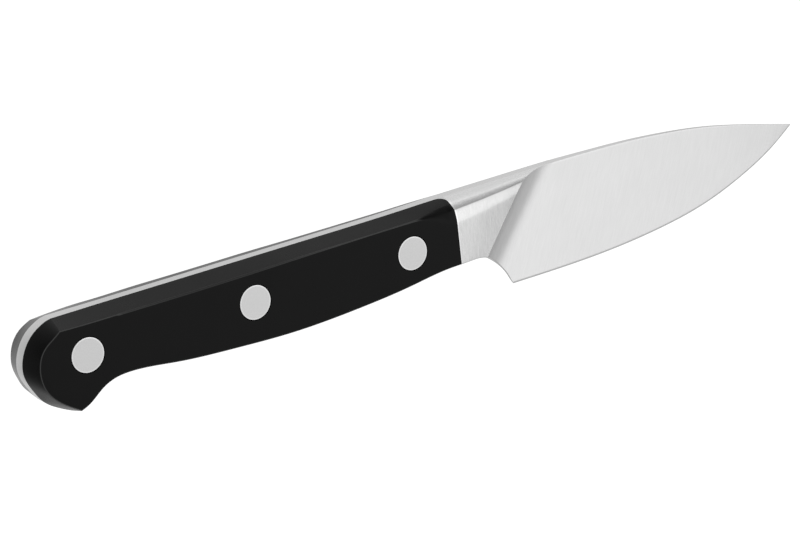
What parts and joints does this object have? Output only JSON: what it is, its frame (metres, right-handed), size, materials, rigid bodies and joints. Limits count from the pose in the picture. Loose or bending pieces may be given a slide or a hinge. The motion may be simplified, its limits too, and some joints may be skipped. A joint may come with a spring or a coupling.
{
  "type": "paring knife",
  "caption": "Short pointed knife with a forged bolster and full tang between black riveted scales, for peeling and trimming by hand.",
  "frame": {"origin": "on the side face of the lower handle scale, where the rear rivet's axis meets it", "axes": "+X along the knife to the tip, +Y to the spine, +Z out of the upper scale: the knife lies on its side"},
  "size_m": [0.1981, 0.0245, 0.0134],
  "materials": {
    "steel": "brushed",
    "scale_black": "matte",
    "rivet_steel": "brushed"
  },
  "bodies": {
    "root": {"blade_forging": "steel", "near_scale": "scale_black", "far_scale": "scale_black", "rear_rivet_pin": "rivet_steel", "rear_rivet_tube": "rivet_steel", "middle_rivet_pin": "rivet_steel", "middle_rivet_tube": "rivet_steel", "front_rivet_pin": "rivet_steel", "front_rivet_tube": "rivet_steel"}
  },
  "joints": []
}
